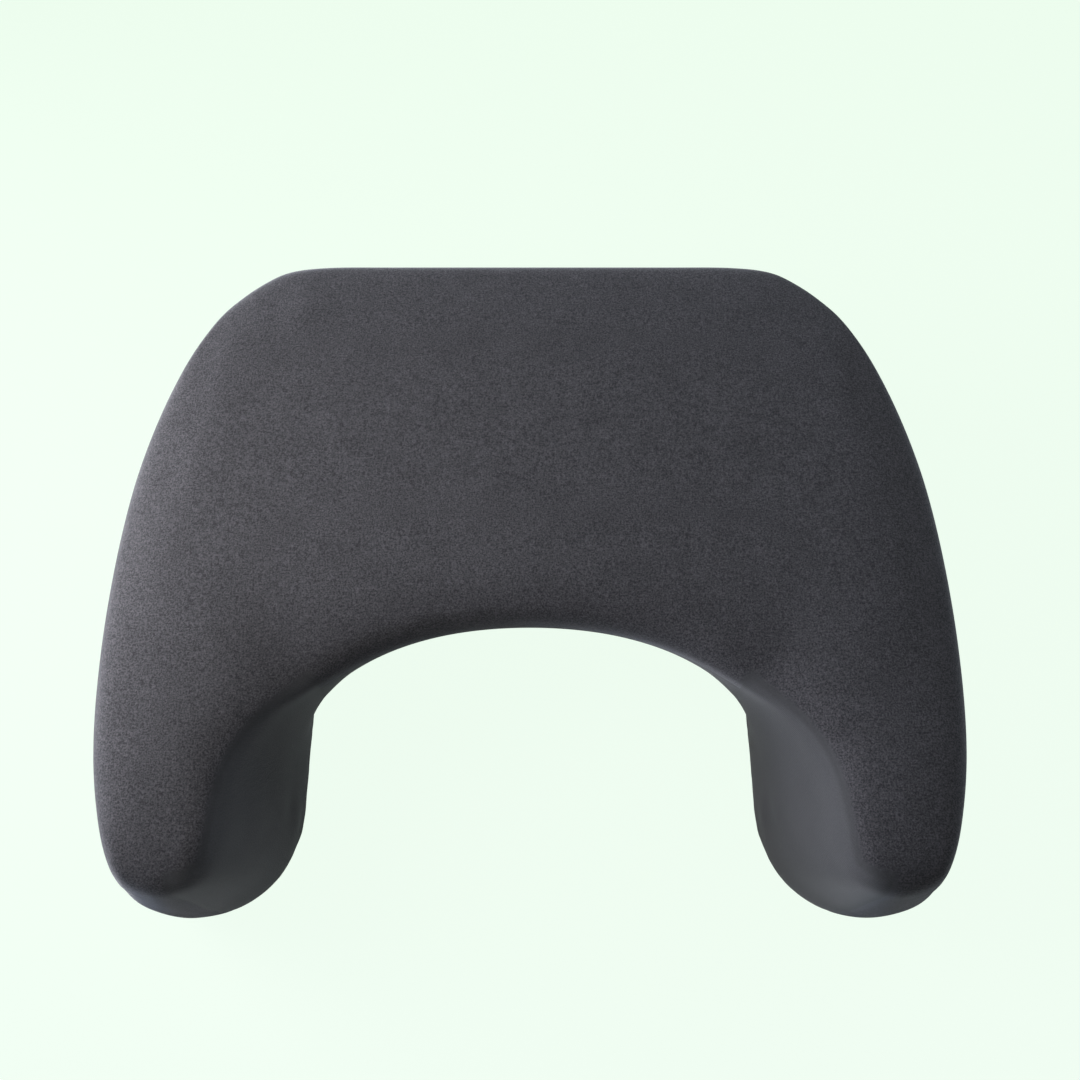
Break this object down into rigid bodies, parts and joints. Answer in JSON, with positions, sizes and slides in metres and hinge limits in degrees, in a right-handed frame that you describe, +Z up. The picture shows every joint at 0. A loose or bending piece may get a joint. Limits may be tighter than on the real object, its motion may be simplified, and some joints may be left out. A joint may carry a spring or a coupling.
{
  "type": "lap desk pillow",
  "caption": "Horseshoe-shaped foam lap desk pillow with a flat deck over a thigh tunnel, arm rests and a zipped fabric cover.",
  "frame": {"origin": "middle of the footprint, on the surface that the pillow stands on", "axes": "+X to the user's right, +Y away from the user towards the zipped rear edge, +Z up"},
  "size_m": [0.5492, 0.4443, 0.16],
  "materials": {
    "heather_cloth": "matte",
    "smooth_cloth": "matte",
    "liner_knit": "matte",
    "foam": "matte",
    "zip_tape": "matte",
    "zip_teeth": "satin",
    "zip_metal": "satin"
  },
  "bodies": {
    "pillow": {"cover_top": "heather_cloth", "cover_rear": "heather_cloth", "cover_side_left": "heather_cloth", "cover_side_right": "heather_cloth", "cover_arm_inner_left": "smooth_cloth", "cover_arm_inner_right": "smooth_cloth", "cover_tunnel": "smooth_cloth", "cover_foot_left": "smooth_cloth", "cover_foot_right": "smooth_cloth", "foam_core": "foam", "liner_top": "liner_knit", "liner_outer": "liner_knit", "liner_inner": "liner_knit", "zip_tape_upper": "zip_tape", "zip_tape_lower": "zip_tape", "zip_teeth_upper": "zip_teeth", "zip_teeth_lower": "zip_teeth", "zip_top_stop_upper": "zip_metal", "zip_top_stop_lower": "zip_metal", "zip_bottom_stop": "zip_metal"},
    "slider": {"zip_slider": "zip_metal"},
    "pull": {"zip_pull": "zip_metal"}
  },
  "joints": [
    {"name": "zip_run", "type": "slide", "parent": "pillow", "child": "slider", "axis": [1, 0, 0], "range_m": [-0.2354, 0], "deforming": ["zip_teeth_upper", "zip_teeth_lower"]},
    {"name": "pull_swing", "type": "hinge", "parent": "slider", "child": "pull", "pos_m": [0.1177, 0.22175, 0.1276], "axis": [0, 0, -1], "range_deg": [0, 180]}
  ]
}
